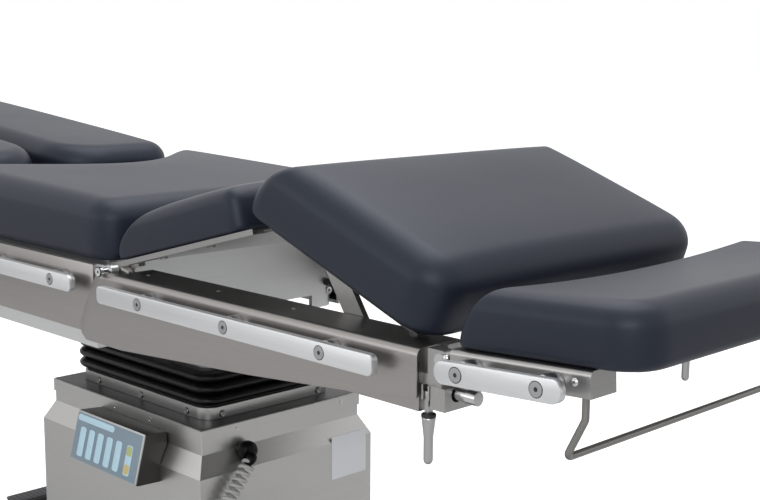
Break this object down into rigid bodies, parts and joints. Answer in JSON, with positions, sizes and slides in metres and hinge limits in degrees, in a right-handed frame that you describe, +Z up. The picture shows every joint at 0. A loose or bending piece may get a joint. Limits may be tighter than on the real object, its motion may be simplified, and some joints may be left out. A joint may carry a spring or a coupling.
{
  "type": "operating table",
  "caption": "Mobile operating table: column on a castored base, padded seat, folding torso ridge, head section and split leg sections with side rails.",
  "frame": {"origin": "on the floor under the middle of the table's whole length, on its centre plane", "axes": "+X to the head end, +Z up, +Y away from the side with the control box"},
  "size_m": [2.2408, 0.5912, 0.9029],
  "materials": {
    "pad": "matte seamless",
    "stainless": "brushed",
    "rail": "satin",
    "bright": "polished",
    "dark_steel": "satin",
    "black_rubber": "matte",
    "wheel": "matte",
    "grey_plastic": "matte",
    "panel_blue": "semi-gloss",
    "cord_grey": "satin"
  },
  "bodies": {
    "base": {"base_cover": "stainless", "column_housing": "stainless", "bellows_collar": "black_rubber", "collar_strips": "stainless", "control_box": "grey_plastic", "keypad": "panel_blue", "rating_plate": "bright", "cord_gland": "black_rubber", "cord": "cord_grey", "handset": "grey_plastic", "handset_holder": "grey_plastic"},
    "brake_pedal": {"brake_pedal": "dark_steel"},
    "lift_mid": {"mid_column": "stainless"},
    "lift": {"lift_column": "stainless", "bellows": "black_rubber"},
    "tilt": {"tilt_cross": "stainless"},
    "seat": {"seat_frame": "stainless", "seat_sheet_near": "stainless", "seat_sheet_far": "stainless", "seat_rail_near": "rail", "seat_rail_far": "rail", "seat_rail_fixings": "bright", "seat_pad": "pad", "torso_hinge_pins": "bright"},
    "torso": {"torso_beam_near": "stainless", "torso_beam_far": "stainless", "torso_end_frame": "stainless", "torso_rail_near": "rail", "torso_rail_far": "rail", "torso_rail_fixings": "bright", "head_pegs": "bright", "head_hinge_pins": "bright"},
    "ridge_lower": {"ridge_plate_lower": "stainless", "ridge_pad_lower": "pad", "ridge_pins": "bright"},
    "ridge_upper": {"ridge_plate_upper": "stainless", "ridge_pad_upper": "pad"},
    "lift_lever": {"lift_lever": "stainless"},
    "clamp_lever_near": {"clamp_lever_near": "stainless"},
    "clamp_lever_far": {"clamp_lever_far": "stainless"},
    "head": {"head_frame": "stainless", "head_rail_near": "rail", "head_rail_far": "rail", "head_fixings": "bright", "head_bow": "stainless", "head_pad": "pad"},
    "castor_1": {"castor_fork_1": "stainless"},
    "wheel_1": {"castor_wheel_1": "wheel"},
    "castor_2": {"castor_fork_2": "stainless"},
    "wheel_2": {"castor_wheel_2": "wheel"},
    "castor_3": {"castor_fork_3": "stainless"},
    "wheel_3": {"castor_wheel_3": "wheel"},
    "castor_4": {"castor_fork_4": "stainless"},
    "wheel_4": {"castor_wheel_4": "wheel"},
    "leg_knuckle_near": {"leg_knuckle_near": "stainless"},
    "leg_near": {"leg_frame_near": "stainless", "leg_pad_near": "pad"},
    "leg_knuckle_far": {"leg_knuckle_far": "stainless"},
    "leg_far": {"leg_frame_far": "stainless", "leg_pad_far": "pad"}
  },
  "joints": [
    {"name": "castor_swivel_1", "type": "hinge", "parent": "base", "child": "castor_1", "pos_m": [-0.308, -0.178, 0.108], "axis": [0, 0, 1], "continuous": true},
    {"name": "wheel_spin_1", "type": "hinge", "parent": "castor_1", "child": "wheel_1", "pos_m": [-0.334, -0.178, 0.04], "axis": [0, 1, 0], "continuous": true},
    {"name": "castor_swivel_2", "type": "hinge", "parent": "base", "child": "castor_2", "pos_m": [-0.308, 0.178, 0.108], "axis": [0, 0, 1], "continuous": true},
    {"name": "wheel_spin_2", "type": "hinge", "parent": "castor_2", "child": "wheel_2", "pos_m": [-0.334, 0.178, 0.04], "axis": [0, 1, 0], "continuous": true},
    {"name": "castor_swivel_3", "type": "hinge", "parent": "base", "child": "castor_3", "pos_m": [0.462, -0.178, 0.108], "axis": [0, 0, 1], "continuous": true},
    {"name": "wheel_spin_3", "type": "hinge", "parent": "castor_3", "child": "wheel_3", "pos_m": [0.436, -0.178, 0.04], "axis": [0, 1, 0], "continuous": true},
    {"name": "castor_swivel_4", "type": "hinge", "parent": "base", "child": "castor_4", "pos_m": [0.462, 0.178, 0.108], "axis": [0, 0, 1], "continuous": true},
    {"name": "wheel_spin_4", "type": "hinge", "parent": "castor_4", "child": "wheel_4", "pos_m": [0.436, 0.178, 0.04], "axis": [0, 1, 0], "continuous": true},
    {"name": "brake", "type": "hinge", "parent": "base", "child": "brake_pedal", "pos_m": [-0.393, 0, 0.129], "axis": [0, 1, 0], "range_deg": [-12, 12]},
    {"name": "lift", "type": "slide", "parent": "base", "child": "lift", "axis": [0, 0, 1], "range_m": [0, 0.3], "deforming": ["bellows"]},
    {"name": "lift_mid", "type": "slide", "parent": "base", "child": "lift_mid", "axis": [0, 0, 1], "range_m": [0, 0.15]},
    {"name": "trendelenburg", "type": "hinge", "parent": "lift", "child": "tilt", "pos_m": [0.077, 0, 0.65], "axis": [0, 1, 0], "range_deg": [-20, 20]},
    {"name": "lateral_tilt", "type": "hinge", "parent": "tilt", "child": "seat", "pos_m": [0.077, 0, 0.65], "axis": [1, 0, 0], "range_deg": [-15, 15]},
    {"name": "torso", "type": "hinge", "parent": "seat", "child": "torso", "pos_m": [0.201, 0, 0.714], "axis": [0, -1, 0], "range_deg": [-15, 20]},
    {"name": "ridge", "type": "hinge", "parent": "torso", "child": "ridge_lower", "pos_m": [0.201, 0, 0.714], "axis": [0, -1, 0], "range_deg": [-14.8, 0]},
    {"name": "ridge_fold", "type": "hinge", "parent": "ridge_lower", "child": "ridge_upper", "pos_m": [0.54623, 0, 0.80883], "axis": [0, -1, 0], "range_deg": [0, 35.1]},
    {"name": "ridge_lever", "type": "hinge", "parent": "torso", "child": "lift_lever", "pos_m": [0.696, 0, 0.652], "axis": [0, -1, 0], "range_deg": [0, 34.04]},
    {"name": "clamp_near", "type": "hinge", "parent": "torso", "child": "clamp_lever_near", "pos_m": [0.8435, -0.26, 0.661], "axis": [-1, 0, 0], "range_deg": [0, 80]},
    {"name": "clamp_far", "type": "hinge", "parent": "torso", "child": "clamp_lever_far", "pos_m": [0.8435, 0.26, 0.661], "axis": [1, 0, 0], "range_deg": [0, 80]},
    {"name": "head", "type": "hinge", "parent": "torso", "child": "head", "pos_m": [0.864, 0, 0.703], "axis": [0, -1, 0], "range_deg": [-20, 12]},
    {"name": "leg_tilt_near", "type": "hinge", "parent": "seat", "child": "leg_knuckle_near", "pos_m": [-0.385, -0.235, 0.708], "axis": [0, 1, 0], "range_deg": [-40, 5]},
    {"name": "leg_swing_near", "type": "hinge", "parent": "leg_knuckle_near", "child": "leg_near", "pos_m": [-0.41956, -0.235, 0.72527], "axis": [0.0924, 0, 0.9957], "range_deg": [0, 25]},
    {"name": "leg_tilt_far", "type": "hinge", "parent": "seat", "child": "leg_knuckle_far", "pos_m": [-0.385, 0.235, 0.708], "axis": [0, 1, 0], "range_deg": [-40, 5]},
    {"name": "leg_swing_far", "type": "hinge", "parent": "leg_knuckle_far", "child": "leg_far", "pos_m": [-0.41956, 0.235, 0.72527], "axis": [-0.0924, 0, -0.9957], "range_deg": [0, 25]}
  ],
  "couplings": [
    {"joint": "lift_mid", "follows": "lift", "ratio": 0.5},
    {"joint": "ridge_fold", "follows": "ridge", "ratio": -2.3716},
    {"joint": "ridge_lever", "follows": "ridge", "ratio": -2.3}
  ]
}
